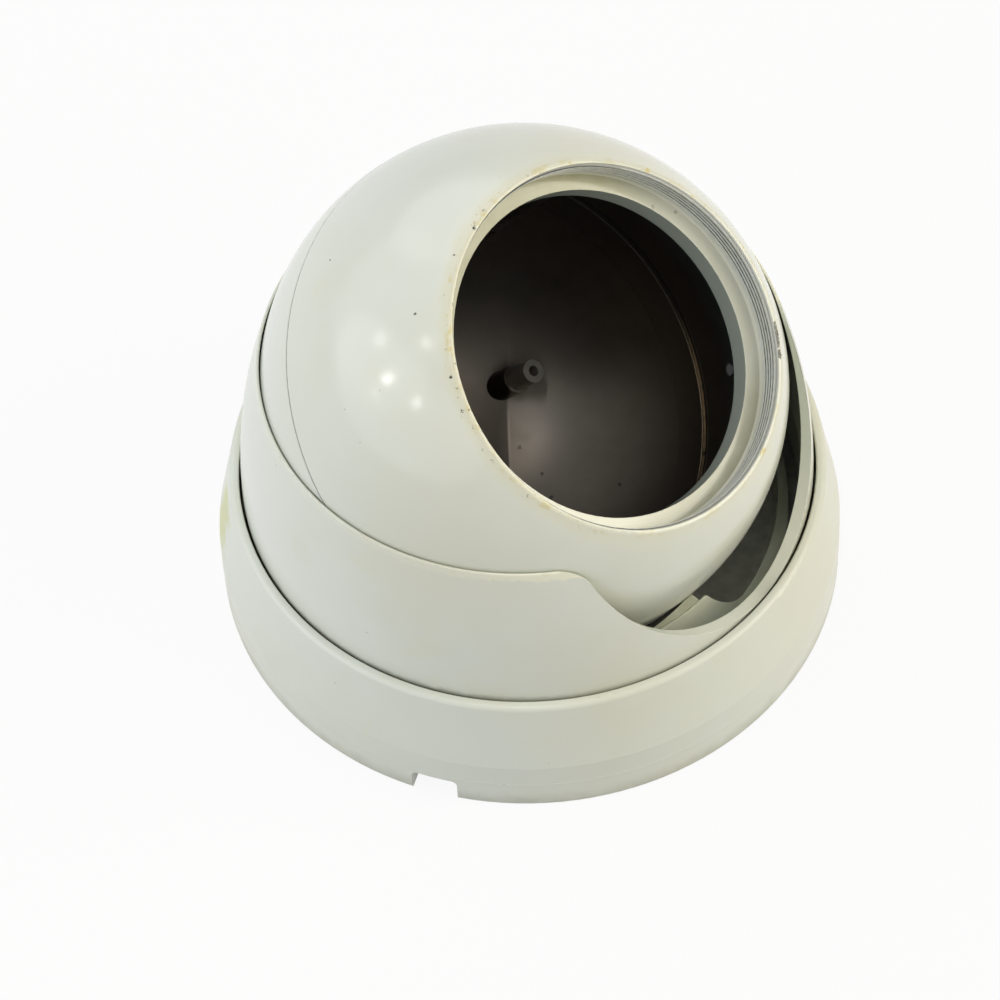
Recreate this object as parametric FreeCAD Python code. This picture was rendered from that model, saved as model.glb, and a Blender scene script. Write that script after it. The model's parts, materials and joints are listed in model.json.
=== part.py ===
import FreeCAD, Part
import math
import os

from FreeCAD import Vector

# An empty eyeball housing of cast metal. A base ring twists onto a mounting plate, a collar turns
# in the base ring, and a hollow ball tilts between the collar's lip and the seat on the plate.
# Millimetres. The origin is the middle of the mounting plane, +Z points away from the wall, and
# -Y is the front, where the collar is cut out and the ball's threaded opening looks.
# An azimuth is counted from the front, towards +X.

# The ball.
ball_radius = 47.5
ball_floor_gap = 0.9
ball_tilt = 37.5
front_wall = 3.3
rear_wall = 2.7
seam_chamfer = 0.25

# The ball's threaded opening, measured along its own axis.
mouth_cap = 13.6
mouth_land = 0.67
mouth_chamfer = 0.15
mouth_round = 0.4
thread_depth = 5.8
ledge_width = 3.25
ledge_thick = 4.0
ledge_corner = 0.4

# The joint between the ball's two shells.
spigot_length = 8.2
seam_wall = 2.25
spigot_play = 0.08
gasket_thick = 1.5
gasket_width = 1.55
belt_width = 5.7
belt_depth = 0.6

# The three screws that hold the shells together, and their bosses.
shell_screw_inset = 8.5
shell_screw_first = 33.0
shell_screw_radius = 1.5
shell_screw_grip = 6.0
shell_hole_spare = 1.0
shell_head_radius = 2.6
shell_head_height = 2.0
shell_boss_radius = 2.7
shell_well_wall = 1.05
shell_web = 2.4
shell_boss_gap = 0.1
front_boss_height = 12.0

# The three stepped pillars for the inner bracket.
pillar_place = 21.0
pillar_first = -16.5
pillar_foot_radius = 2.75
pillar_foot_length = 5.57
pillar_radius = 2.2
pillar_length = 6.4
pillar_hole_radius = 1.0
pillar_hole_depth = 4.5
pillar_stud_radius = 1.25
pillar_stud_length = 3.5
pillar_stud_spare = 0.3

# A small cast boss inside the front shell.
index_boss_angle = -39.0
index_boss_height = 1.0
index_boss_radius = 1.3
index_boss_length = 0.8

# The cable hole and its grommet, an angle away from the ball's rear pole.
cable_hole_angle = 30.0
cable_hole_radius = 4.5
cable_radius = 2.6
grommet_flange_radius = 6.0
grommet_flange = 1.0
grommet_inner_flange = 1.2
grommet_pad = 1.2
grommet_pad_rim = 1.0
grommet_sink = 0.1

# The collar, from the ball outwards.
collar_room = 2.5
collar_wall = 2.25
collar_foot = 15.0
collar_flange = 1.9
collar_flange_width = 1.95
collar_flange_play = 0.4
collar_rise = 9.2
lip_gap = 0.3
lip_thick = 0.55
lip_chamfer = 0.15
crown_drop = 0.9
hug_rise = 3.5
scallop_rise = 10.1
scallop_dip = 0.8
scallop_shoulder = 4.0

# The lock screw in the collar's back.
ball_lock_drop = 10.4
ball_lock_radius = 2.0
ball_lock_point = 0.5
ball_lock_sink = 0.3
ball_lock_boss = 4.2
ball_lock_boss_reach = 2.0

# The base ring, from the collar outwards.
collar_play = 0.5
base_wall = 2.8
base_rim = 11.5
base_edge = 0.3
lip_depth = 8.5
lip_width = 1.7
lip_outer_round = 1.1
lip_inner_round = 0.25
parting_height = 6.3
parting_width = 0.35
parting_depth = 0.07

# The cable notch in the base ring's rim, and the slot for the cable in the plate.
notch_azimuth = -73.8
notch_width = 8.5
notch_height = 5.2
notch_round = 1.2
cable_slot_width = 9.0

# The ring that the collar's flange glides on.
glide_thick = 0.8
glide_play = 0.35
glide_edge = 0.3
glide_gap = 0.3

# The mounting plate.
plate_bottom = 2.2
plate_thick = 1.8
plate_play = 1.0
plate_room = 1.62
wall_hole_azimuth = 0.0
wall_hole_radius = 2.25
wall_pad_radius = 6.0

# The twist lock between the base ring and the plate.
lug_azimuth = 10.0
lug_width = 12.0
lug_reach = 2.4
lug_root = 0.5
lug_thick = 1.6
lug_play = 0.4
twist = 20.0

# The lock screw at the back, and the plate's tab that it presses on.
ring_lock_height = 8.0
ring_lock_radius = 1.5
ring_lock_sink = 0.5
ring_lock_bite = 0.6
tab_width = 12.0
tab_rise = 3.5
tab_thick = 1.8

# The pin and the tooth that stop the collar.
pin_radius = 1.25
pin_gap = 0.8
tooth_width = 4.4
tooth_drop = 4.0
tooth_reach = 1.6

# The seat ring that the ball rests on.
seat_play = 2.1
seat_wall = 2.0
seat_slope = 8.0
seat_drop = 25.4
seat_land = 0.4
seat_edge_round = 0.8
seat_ledge_drop = 2.2
seat_ledge_room = 0.7
seat_crown = 2.0
window_azimuth = 22.5
window_angle = 64.0
window_strip = 1.95
window_depth = 9.9
window_round = 7.5
arch_height = 6.0
seat_screw_inset = 4.9
seat_screw_radius = 1.5
seat_screw_cover = 5.3
seat_head_radius = 2.8
seat_boss_radius = 4.0
seat_boss_drop = 3.3
pad_width = 1.65
pad_margin = 0.05
pad_play = 0.05
pad_gap = 0.4

# Fits and proportions shared by the fasteners.
thread_play = 0.05
shank_play = 0.2
socket_share = 0.55
around = 3
quarter = 90.0

# What follows from them.
ball_centre_z = ball_radius + ball_floor_gap
ball_bore = ball_radius - front_wall
rear_bore = ball_radius - rear_wall
mouth_height = ball_radius - mouth_cap
ledge_height = mouth_height - thread_depth
mouth_radius = math.sqrt(ball_radius ** 2 - mouth_height ** 2) - mouth_land
ledge_bore = mouth_radius - ledge_width
spigot_radius = ball_radius - seam_wall
seam_shelf = spigot_length + gasket_thick
shell_screw_place = ball_radius - shell_screw_inset
shell_well_radius = shell_head_radius + shank_play
shell_well_rim = shell_screw_place + shell_well_radius + shell_well_wall
shell_head_seat = math.sqrt(ball_radius ** 2 - shell_well_rim ** 2)
pillar_foot_height = math.sqrt(rear_bore ** 2 - pillar_place ** 2) - pillar_foot_length
collar_bore = ball_radius + collar_room
collar_radius = collar_bore + collar_wall
collar_top = ball_centre_z + collar_rise
flange_radius = collar_radius + collar_flange_width
flange_top = collar_foot + collar_flange
shoulder_height = flange_top + glide_gap + glide_thick
lip_top = shoulder_height + lip_depth
lip_bore = collar_radius + collar_play
lip_outer = lip_bore + lip_width
crown_start = lip_top - crown_drop
hug_start = lip_top + hug_rise
scallop_centre_z = ball_centre_z + scallop_rise
scallop_radius = scallop_centre_z - (lip_top - scallop_dip)
ball_lock_height = ball_centre_z - ball_lock_drop
cavity_radius = flange_radius + collar_flange_play
base_radius = cavity_radius + base_wall
plate_top = plate_bottom + plate_thick
plate_radius = cavity_radius - plate_play
plate_hole = math.sqrt((ball_radius + plate_room) ** 2 - (ball_centre_z - plate_top) ** 2)
tab_height = ring_lock_height + tab_rise
pin_place = collar_bore + tooth_reach / 2
seat_radius = collar_bore - seat_play
seat_top = ball_centre_z - seat_drop
seat_shoulder = seat_top - seat_slope
seat_ledge = seat_top - seat_ledge_drop
pad_bore = math.sqrt((ball_radius + pad_gap) ** 2 - seat_drop ** 2)
seat_top_radius = pad_bore + pad_width
seat_ledge_bore = math.sqrt((ball_radius + seat_ledge_room) ** 2
                            - (ball_centre_z - seat_ledge) ** 2)
window_outer = seat_radius - window_strip
window_inner = window_outer - window_depth
wall_hole_place = window_outer - window_depth / 2
seat_screw_place = seat_radius - seat_screw_inset
seat_boss_top = seat_ledge - seat_boss_drop
seat_screw_length = seat_boss_top - seat_screw_cover - plate_bottom
up = Vector(0, 0, 1)
back = Vector(0, 1, 0)
reach = 2 * base_radius


def turned(edges, angle=360.0):
    """Solid of revolution about Z from edges that lie in the XZ plane."""
    face = Part.Face(Part.Wire(edges))
    return face.revolve(Vector(), up, angle)


def line(a, b):
    return Part.makeLine(Vector(a[0], 0, a[1]), Vector(b[0], 0, b[1]))


def arc(a, middle, b):
    points = [Vector(p[0], 0, p[1]) for p in (a, middle, b)]
    return Part.Arc(*points).toShape()


def on_circle(centre, radius, angle):
    return (centre[0] + radius * math.cos(angle), centre[1] + radius * math.sin(angle))


def on_sphere(radius, height):
    """Point of a sphere's half profile at a height over its centre."""
    return (math.sqrt(radius ** 2 - height ** 2), height)


def sphere_arc(radius, low, high):
    """Arc of a sphere's profile between two heights over its centre."""
    a = on_sphere(radius, low)
    b = on_sphere(radius, high)
    half = (math.atan2(a[1], a[0]) + math.atan2(b[1], b[0])) / 2
    return arc(a, on_circle((0, 0), radius, half), b)


def upright_arc(low, high):
    """Arc that leaves its low end upright and ends at its high end."""
    inward = low[0] - high[0]
    rise = high[1] - low[1]
    radius = (inward ** 2 + rise ** 2) / (2 * inward)
    half = math.asin(rise / radius) / 2
    middle = on_circle((low[0] - radius, low[1]), radius, half)
    return arc(low, middle, high)


def rounded_outline(corners):
    """Closed outline in the XZ plane from corners (r, z, corner radius)."""
    starts = []
    ends = []
    edges = []
    count = len(corners)
    for i, (r, z, radius) in enumerate(corners):
        before = corners[i - 1]
        after = corners[(i + 1) % count]
        back = Vector(before[0] - r, before[1] - z, 0).normalize()
        ahead = Vector(after[0] - r, after[1] - z, 0).normalize()
        corner = Vector(r, z, 0)
        if radius == 0:
            starts.append(corner)
            ends.append(corner)
            continue
        half = back.getAngle(ahead) / 2
        step = radius / math.tan(half)
        start = corner + back * step
        end = corner + ahead * step
        bisector = (back + ahead).normalize()
        middle = corner + bisector * (radius / math.sin(half) - radius)
        starts.append(start)
        ends.append(end)
        edges.append(arc((start.x, start.y), (middle.x, middle.y), (end.x, end.y)))
    for i in range(count):
        a = ends[i - 1]
        b = starts[i]
        edges.append(line((a.x, a.y), (b.x, b.y)))
    return Part.__sortEdges__(edges)


def ring(outer, inner, bottom, top, angle=360.0):
    corners = [(outer, bottom, 0), (outer, top, 0), (inner, top, 0), (inner, bottom, 0)]
    return turned(rounded_outline(corners), angle)


def rod(radius, start, direction, length):
    return Part.makeCylinder(radius, length, start, direction)


def block(size_x, low_y, high_y, low_z, high_z):
    """Box centred on X."""
    corner = Vector(-size_x / 2, low_y, low_z)
    return Part.makeBox(size_x, high_y - low_y, high_z - low_z, corner)


def half_space(low, high):
    """Everything between two heights, wide enough for any piece."""
    return Part.makeCylinder(reach, high - low, Vector(0, 0, low))


def turned_by(shape, angle):
    copy = shape.copy()
    copy.rotate(Vector(), up, angle)
    return copy


def repeated(shape, first, count=around):
    """Copies of a shape about Z, the first at the given turn."""
    return [turned_by(shape, first + i * 360.0 / count) for i in range(count)]


def azimuth_point(radius, azimuth, z):
    a = math.radians(azimuth)
    return Vector(radius * math.sin(a), -radius * math.cos(a), z)


def one(shape):
    """A single tidy solid."""
    solid = shape.removeSplitter()
    if len(solid.Solids) != 1:
        raise ValueError("expected one solid, found %d" % len(solid.Solids))
    return solid.Solids[0]


def vertical_edges(shape, radius):
    """Straight edges along Z that lie at a radius from the Z axis."""
    found = []
    for edge in shape.Edges:
        ends = [v.Point for v in edge.Vertexes]
        if len(ends) != 2 or (ends[0] - ends[1]).getAngle(up) % math.pi > 1e-6:
            continue
        if abs(math.hypot(ends[0].x, ends[0].y) - radius) < 1e-6:
            found.append(edge)
    return found


def placed_ball(shape):
    """From the ball's own axes, with the opening up, to its rest in the housing."""
    copy = shape.copy()
    copy.rotate(Vector(), Vector(1, 0, 0), ball_tilt)
    copy.translate(Vector(0, 0, ball_centre_z))
    return copy


def rim_bulge(start, end):
    """Middle of the rounding that leads from the ball's outside to the flat of its rim."""
    return ((2 * start[0] + end[0]) / 3, (start[1] + 2 * end[1]) / 3)


def make_front_shell():
    """Front half of the ball: opening, ledge, wall and the spigot that enters the rear half."""
    seam_edge = on_sphere(ball_radius, seam_chamfer)
    rim_start = on_sphere(ball_radius, mouth_height - mouth_round)
    rim_end = (on_sphere(ball_radius, mouth_height)[0] - mouth_round, mouth_height)
    rim_middle = rim_bulge(rim_start, rim_end)
    ledge_back = ledge_height - ledge_thick
    path = [
        (mouth_radius + mouth_chamfer, mouth_height),
        (mouth_radius, mouth_height - mouth_chamfer),
        (mouth_radius, ledge_height + ledge_corner),
        (mouth_radius - ledge_corner, ledge_height),
        (ledge_bore, ledge_height),
        (ledge_bore, ledge_back),
        on_sphere(ball_bore, ledge_back),
    ]
    foot = [
        on_sphere(ball_bore, -spigot_length),
        (spigot_radius, -spigot_length),
        (spigot_radius, 0),
        (ball_radius - seam_chamfer, 0),
        seam_edge,
    ]
    edges = [sphere_arc(ball_radius, seam_chamfer, mouth_height - mouth_round)]
    edges.append(arc(rim_start, rim_middle, rim_end))
    edges.append(line(rim_end, path[0]))
    edges += [line(a, b) for a, b in zip(path, path[1:])]
    edges.append(sphere_arc(ball_bore, ledge_back, -spigot_length))
    edges += [line(a, b) for a, b in zip(foot, foot[1:])]
    shell = turned(edges)

    inside = Part.makeSphere(ball_bore + front_wall / 4)
    boss_foot = Vector(shell_screw_place, 0, shell_boss_gap - seam_shelf)
    boss = rod(shell_boss_radius, boss_foot, up, front_boss_height + seam_shelf)
    web = Part.makeBox(
        ball_radius - shell_screw_place,
        shell_web,
        front_boss_height + spigot_length,
        Vector(shell_screw_place, -shell_web / 2, -spigot_length),
    )
    hole_radius = shell_screw_radius + thread_play
    hole = rod(hole_radius, boss_foot, up, shell_screw_grip + shell_hole_spare)
    boss = boss.fuse(web).common(inside).cut(hole)
    shell = shell.fuse(repeated(boss, shell_screw_first))

    direction = Vector(ball_bore, 0, index_boss_height).normalize()
    knob = rod(index_boss_radius, direction * (ball_bore - index_boss_length), direction,
               index_boss_length + front_wall / 2)
    shell = shell.fuse(turned_by(knob, index_boss_angle))
    return one(shell)


def make_rear_shell():
    """Rear half of the ball: joint shelf, inner step, bosses, pillar feet and cable hole."""
    rebate = spigot_radius + spigot_play
    belt_foot = -(seam_shelf + belt_width)
    inner_belt = rear_bore - belt_depth
    edges = [
        sphere_arc(ball_radius, -seam_chamfer, -ball_radius),
        line((0, -ball_radius), (0, -rear_bore)),
        sphere_arc(rear_bore, -rear_bore, belt_foot),
        line(on_sphere(rear_bore, belt_foot), on_sphere(inner_belt, belt_foot)),
        sphere_arc(inner_belt, belt_foot, -seam_shelf),
        line(on_sphere(inner_belt, -seam_shelf), (rebate, -seam_shelf)),
        line((rebate, -seam_shelf), (rebate, 0)),
        line((rebate, 0), (ball_radius - seam_chamfer, 0)),
        line((ball_radius - seam_chamfer, 0), on_sphere(ball_radius, -seam_chamfer)),
    ]
    shell = turned(edges)

    inside = Part.makeSphere(rear_bore + rear_wall / 3)
    below_shelf = half_space(-ball_radius, -seam_shelf)
    depth = ball_radius - seam_shelf
    foot = Vector(shell_screw_place, 0, -ball_radius)
    column = rod(shell_boss_radius, foot, up, depth)
    casing_top = ball_radius - shell_head_seat + shell_well_wall
    casing = rod(shell_well_radius + shell_well_wall, foot, up, casing_top)
    web = Part.makeBox(ball_radius - shell_screw_place, shell_web, depth,
                       Vector(shell_screw_place, -shell_web / 2, -ball_radius))
    boss = column.fuse([casing, web]).common(inside).common(below_shelf)
    shell = shell.fuse(repeated(boss, shell_screw_first))

    pillar_foot = rod(pillar_foot_radius, Vector(pillar_place, 0, -ball_radius), up,
                      ball_radius - pillar_foot_height)
    shell = shell.fuse(repeated(pillar_foot.common(inside), pillar_first))

    axis = cable_axis()
    pad = rod(grommet_flange_radius + grommet_pad_rim, axis * (rear_bore - grommet_pad), axis,
              grommet_pad + rear_wall / 2)
    shell = shell.fuse(pad.common(inside))

    shank = rod(shell_screw_radius + shank_play, foot, up, ball_radius)
    well = rod(shell_well_radius, foot, up, ball_radius - shell_head_seat)
    stud_hole = rod(pillar_stud_radius + thread_play, Vector(pillar_place, 0, -pillar_foot_height),
                    up * -1, pillar_stud_length + pillar_stud_spare)
    outer_seat = grommet_seat()
    cable = rod(cable_hole_radius, Vector(), axis, ball_radius)
    sink = rod(grommet_flange_radius + grommet_sink, axis * outer_seat, axis, ball_radius - outer_seat)
    cuts = repeated(shank.fuse(well), shell_screw_first) + repeated(stud_hole, pillar_first)
    return one(shell.cut(cuts + [cable, sink]))


def cable_axis():
    """Way out of the cable hole, in the ball's own axes."""
    a = math.radians(cable_hole_angle)
    return Vector(0, -math.sin(a), -math.cos(a))


def grommet_seat():
    """Distance from the ball's centre to the floor of the grommet's outer recess."""
    flush = math.sqrt(ball_radius ** 2 - grommet_flange_radius ** 2)
    return flush - grommet_flange - grommet_sink


def make_grommet():
    """Rubber grommet with the shell's wall in its groove, flush with the ball outside."""
    axis = cable_axis()
    inner_seat = rear_bore - grommet_pad
    outer_seat = grommet_seat()
    inner = rod(grommet_flange_radius, axis * (inner_seat - grommet_inner_flange), axis,
                grommet_inner_flange)
    neck = rod(cable_hole_radius - thread_play, axis * inner_seat, axis, outer_seat - inner_seat)
    outer = rod(grommet_flange_radius, axis * outer_seat, axis, grommet_flange)
    hole = rod(cable_radius, Vector(), axis, ball_radius)
    return one(inner.fuse([neck, outer]).cut(hole))


def make_gasket():
    """Flat rubber ring squeezed between the spigot's end and the rear shell's shelf."""
    outer = spigot_radius - spigot_play
    return ring(outer, outer - gasket_width, -seam_shelf, -spigot_length)


def make_shell_screws():
    head_foot = Vector(shell_screw_place, 0, -shell_head_seat - shell_head_height)
    head = rod(shell_head_radius, head_foot, up, shell_head_height)
    length = shell_head_seat - seam_shelf + shell_screw_grip
    shank = rod(shell_screw_radius, head_foot, up, shell_head_height + length)
    socket = rod(shell_head_radius * socket_share, head_foot, up, shell_head_height / 2)
    return Part.Compound(repeated(one(head.fuse(shank).cut(socket)), shell_screw_first))


def make_standoffs():
    """Stepped pillars, each with a stud in its cast foot and a threaded hole in its end."""
    shoulder = Vector(pillar_place, 0, -pillar_foot_height)
    body = rod(pillar_radius, shoulder, up, pillar_length)
    stud = rod(pillar_stud_radius, shoulder - up * pillar_stud_length, up, pillar_stud_length)
    top = shoulder + up * pillar_length
    hole = rod(pillar_hole_radius, top, up * -1, pillar_hole_depth)
    return Part.Compound(repeated(one(body.fuse(stud).cut(hole)), pillar_first))


def collar_lip():
    """Inner and outer edge of the collar's lip, in the half profile."""
    height = collar_top - lip_chamfer
    inner = on_sphere(ball_radius + lip_gap, height - ball_centre_z)[0]
    return (inner, height), (inner + lip_thick, height)


def crown_radius_at(z):
    """The collar's outer radius at a height."""
    outer = collar_lip()[1]
    inward = collar_radius - outer[0]
    rise = outer[1] - crown_start
    radius = (inward ** 2 + rise ** 2) / (2 * inward)
    return collar_radius - radius + math.sqrt(radius ** 2 - (z - crown_start) ** 2)


def scallop_tool():
    """Prism along Y that cuts the round scallop, with shoulders that run out into the lip."""
    drop = scallop_centre_z - collar_top + scallop_shoulder
    shoulder_x = math.sqrt((scallop_radius + scallop_shoulder) ** 2 - drop ** 2)
    centre_z = collar_top - scallop_shoulder
    lean = math.atan2(drop, shoulder_x)
    bottom = (0, scallop_centre_z - scallop_radius)
    over = collar_top + scallop_shoulder
    right = on_circle((0, scallop_centre_z), scallop_radius, -lean)
    right_mid = on_circle((shoulder_x, centre_z), scallop_shoulder, 0.75 * math.pi - lean / 2)
    right_top = (shoulder_x, collar_top)
    left = (-right[0], right[1])
    left_mid = (-right_mid[0], right_mid[1])
    left_top = (-right_top[0], right_top[1])
    edges = [
        arc(left, bottom, right),
        arc(right, right_mid, right_top),
        line(right_top, (shoulder_x, over)),
        line((shoulder_x, over), (-shoulder_x, over)),
        line((-shoulder_x, over), left_top),
        arc(left_top, left_mid, left),
    ]
    face = Part.Face(Part.Wire(edges))
    return face.extrude(Vector(0, -reach, 0))


def make_collar():
    lip_in, lip_out = collar_lip()
    flat_in = (lip_in[0] + lip_chamfer, collar_top)
    flat_out = (lip_out[0] - lip_chamfer, collar_top)
    edges = [
        line((collar_bore, collar_foot), (flange_radius, collar_foot)),
        line((flange_radius, collar_foot), (flange_radius, flange_top)),
        line((flange_radius, flange_top), (collar_radius, flange_top)),
        line((collar_radius, flange_top), (collar_radius, crown_start)),
        upright_arc((collar_radius, crown_start), lip_out),
        line(lip_out, flat_out),
        line(flat_out, flat_in),
        line(flat_in, lip_in),
        upright_arc((collar_bore, hug_start), lip_in),
        line((collar_bore, hug_start), (collar_bore, collar_foot)),
    ]
    collar = turned(Part.__sortEdges__(edges))

    half = math.degrees(tooth_width / 2 / pin_place)
    tooth = ring(collar_bore + tooth_reach, collar_bore, collar_foot - tooth_drop,
                 collar_foot + collar_flange / 2, 2 * half)
    collar = collar.fuse(turned_by(tooth, quarter - half))

    boss_front = Vector(0, collar_bore - ball_lock_boss_reach, ball_lock_height)
    boss = rod(ball_lock_boss, boss_front, back, ball_lock_boss_reach + collar_wall / 3)
    hole = rod(ball_lock_radius + thread_play, Vector(0, 0, ball_lock_height), back, reach)
    return one(collar.cut(scallop_tool()).fuse(boss).cut(hole))


def grub_screw(radius, tip, direction, length):
    """Headless screw with a hex socket in its outer end."""
    body = rod(radius, tip, direction, length)
    across = radius * socket_share
    corners = [on_circle((0, 0), across, math.radians(60 * i)) for i in range(7)]
    points = [Vector(0, x, z) for x, z in corners]
    hexagon = Part.Face(Part.makePolygon(points)).extrude(Vector(radius, 0, 0))
    hexagon.rotate(Vector(), up, math.degrees(math.atan2(direction.y, direction.x)))
    hexagon.translate(tip + direction * (length - radius))
    return one(body.cut(hexagon))


def make_ball_lock():
    """Screw in the collar's back that presses on the ball."""
    height = ball_lock_height - ball_centre_z
    tip = on_sphere(ball_radius + lip_gap, height)[0] + ball_lock_point
    length = crown_radius_at(ball_lock_height) - ball_lock_sink - tip
    return grub_screw(ball_lock_radius, Vector(0, tip, ball_lock_height), back, length)


def make_base_ring():
    ridge = base_radius + parting_depth
    corners = [
        (cavity_radius, 0, 0),
        (base_radius - base_edge, 0, 0),
        (base_radius, base_edge, 0),
        (base_radius, parting_height - parting_width, 0),
        (ridge, parting_height, 0),
        (base_radius, parting_height + parting_width, 0),
        (base_radius, base_rim, 0),
        (lip_outer, lip_top, lip_outer_round),
        (lip_bore, lip_top, lip_inner_round),
        (lip_bore, shoulder_height, 0),
        (cavity_radius, shoulder_height, 0),
    ]
    body = turned(rounded_outline(corners))

    half = math.degrees(lug_width / 2 / cavity_radius)
    lug = ring(cavity_radius + lug_root, cavity_radius - lug_reach, plate_bottom - lug_thick,
               plate_bottom, 2 * half)
    body = body.fuse(repeated(turned_by(lug, -quarter - half), lug_azimuth))

    notch = block(notch_width, -reach, lug_reach - cavity_radius, -notch_height, notch_height)
    tops = [e for e in notch.Edges if abs(e.BoundBox.ZMin - notch_height) < 1e-6
            and abs(e.BoundBox.XLength) < 1e-6]
    notch = notch.makeFillet(notch_round, tops)
    screw_hole = rod(ring_lock_radius + thread_play, Vector(0, 0, ring_lock_height), back, reach)
    return one(body.cut([turned_by(notch, notch_azimuth), screw_hole]))


def make_ring_lock():
    """Screw at the back of the base ring that presses on the plate's tab."""
    tip = Vector(0, plate_radius - ring_lock_bite, ring_lock_height)
    length = base_radius - ring_lock_sink - tip.y
    return grub_screw(ring_lock_radius, tip, back, length)


def make_glide_ring():
    """Plastic ring under the base ring's shoulder, which the collar's flange glides on."""
    return ring(cavity_radius - glide_edge, collar_radius + glide_play,
                shoulder_height - glide_thick, shoulder_height)


def arm_azimuth():
    """The middle of the first seat arm, between two windows."""
    return window_azimuth - 180.0 / around


def make_plate():
    plate = ring(plate_radius, plate_hole, plate_bottom, plate_top)
    pad = rod(wall_pad_radius, azimuth_point(wall_hole_place, 0, 0), up, plate_bottom)
    plate = plate.fuse(repeated(pad, wall_hole_azimuth))

    half = math.degrees(tab_width / 2 / plate_radius)
    tab = ring(plate_radius, plate_radius - tab_thick, plate_bottom, tab_height, 2 * half)
    plate = plate.fuse(turned_by(tab, quarter - half))

    wall_hole = rod(wall_hole_radius, azimuth_point(wall_hole_place, 0, 0), up, plate_top)
    screw_foot = azimuth_point(seat_screw_place, 0, plate_bottom)
    screw_hole = rod(seat_screw_radius + shank_play, screw_foot, up, plate_thick)
    sink = Part.makeCone(seat_head_radius + thread_play, seat_screw_radius + shank_play,
                         seat_head_radius - seat_screw_radius, screw_foot)
    gap = lug_width + 2 * lug_play
    notch = block(gap, -reach, -(cavity_radius - lug_reach - lug_play), 0, tab_height)
    slot = block(cable_slot_width, -reach, 0, 0, plate_top)
    dimple = rod(ring_lock_radius + thread_play,
                 Vector(0, plate_radius - ring_lock_bite, ring_lock_height), back, plate_play)
    pin_hole = rod(pin_radius, azimuth_point(pin_place, 0, plate_bottom), up, plate_thick)
    cuts = repeated(wall_hole, wall_hole_azimuth)
    cuts += repeated(screw_hole.fuse(sink), arm_azimuth())
    cuts += repeated(notch, lug_azimuth + twist)
    cuts += [turned_by(slot, notch_azimuth), dimple, pin_hole]
    return one(plate.cut(cuts))


def make_stop_pin():
    """Pin in the plate that the collar's tooth meets just short of a full turn."""
    top = collar_foot - pin_gap
    foot = azimuth_point(pin_place, 0, plate_bottom)
    return rod(pin_radius, foot, up, top - plate_bottom)


def make_seat_ring():
    """Wall with a sloping top, open in three windows, between them the arms that carry the pads."""
    inner = seat_radius - seat_wall
    land_top = seat_top - seat_land
    corners = [
        (inner, plate_top, 0),
        (seat_radius, plate_top, 0),
        (seat_radius, seat_shoulder, seat_edge_round),
        (seat_top_radius + seat_land, land_top, 0),
        (seat_top_radius, land_top, 0),
        (seat_top_radius, seat_ledge, 0),
        (seat_ledge_bore, seat_ledge, 0),
        (seat_ledge_bore, seat_ledge - seat_crown, 0),
        (inner, seat_shoulder - seat_crown, 0),
    ]
    body = turned(rounded_outline(corners))
    boss = rod(seat_boss_radius, azimuth_point(seat_screw_place, 0, plate_top), up,
               seat_boss_top - plate_top)
    body = body.fuse(repeated(boss, arm_azimuth()))

    low = seat_shoulder - 2 * seat_crown
    window = ring(window_outer, window_inner, low, seat_top + seat_crown, window_angle)
    window = window.makeFillet(window_round, vertical_edges(window, window_outer))
    window = turned_by(window, -quarter - window_angle / 2)
    arch = block(cable_slot_width, -reach, 0, plate_bottom, plate_top + arch_height)
    hole = rod(seat_screw_radius + thread_play, azimuth_point(seat_screw_place, 0, plate_top), up,
               seat_screw_length)
    cuts = repeated(window, window_azimuth) + repeated(hole, arm_azimuth())
    return one(body.cut(cuts + [turned_by(arch, notch_azimuth)]))


def make_seat_screws():
    """Countersunk screws from under the plate into the seat ring's bosses."""
    foot = azimuth_point(seat_screw_place, 0, plate_bottom)
    shank = rod(seat_screw_radius, foot, up, seat_screw_length)
    head = Part.makeCone(seat_head_radius, seat_screw_radius, seat_head_radius - seat_screw_radius,
                         foot)
    socket = rod(seat_screw_radius * socket_share, foot, up, seat_screw_radius / 2)
    return Part.Compound(repeated(one(head.fuse(shank).cut(socket)), arm_azimuth()))


def make_seat_pads():
    """Pale pads on the seat arms, hollowed to the ball."""
    low_z = seat_ledge - ball_centre_z
    high_z = -seat_drop
    hollow = ball_radius + pad_gap
    outer = seat_top_radius - pad_play
    high = on_sphere(hollow, high_z)
    foot = (seat_ledge_bore, low_z)
    bend = (foot[0], -math.sqrt(hollow ** 2 - foot[0] ** 2))
    edges = [
        line(foot, (outer, low_z)),
        line((outer, low_z), (outer, high_z)),
        line((outer, high_z), high),
        sphere_arc(hollow, high_z, bend[1]),
        line(bend, foot),
    ]
    margin = math.degrees(pad_margin / seat_top_radius)
    angle = 360.0 / around - window_angle - 2 * margin
    pad = turned(edges, angle)
    pad.translate(Vector(0, 0, ball_centre_z))
    return repeated(turned_by(pad, -quarter - angle / 2), arm_azimuth())


def export(name, shape):
    if not shape.isValid():
        raise ValueError("%s is not a valid shape" % name)
    shape.exportStep(os.path.join("parts", name + ".step"))


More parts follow.
